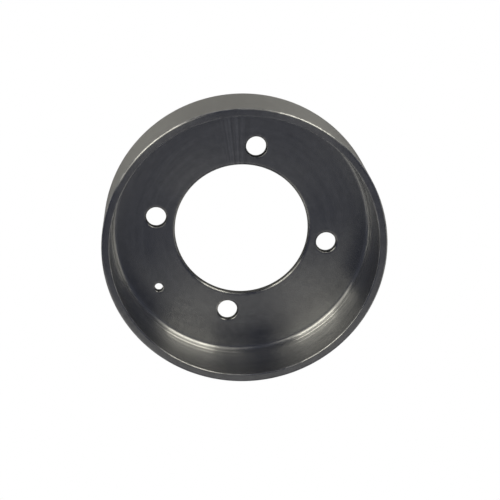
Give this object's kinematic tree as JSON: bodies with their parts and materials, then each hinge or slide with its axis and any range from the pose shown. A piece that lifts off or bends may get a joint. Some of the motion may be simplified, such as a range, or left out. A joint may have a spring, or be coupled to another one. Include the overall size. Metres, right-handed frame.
{
  "type": "brake drum",
  "caption": "Shallow cup-shaped steel brake drum: flat web with a large centre bore, a bolt circle and a small locating hole, and a plain cylindrical wall that shoes rub on.",
  "frame": {"origin": "centre of the bore on the back face of the web", "axes": "+Z along the axis of rotation, from the web towards the open rim; +X through one bolt hole"},
  "size_m": [0.159, 0.159, 0.041],
  "materials": {
    "turned_steel": "turned dark grey steel, satin, with fine concentric tool marks"
  },
  "bodies": {
    "root": {"drum": "turned_steel"}
  },
  "joints": []
}
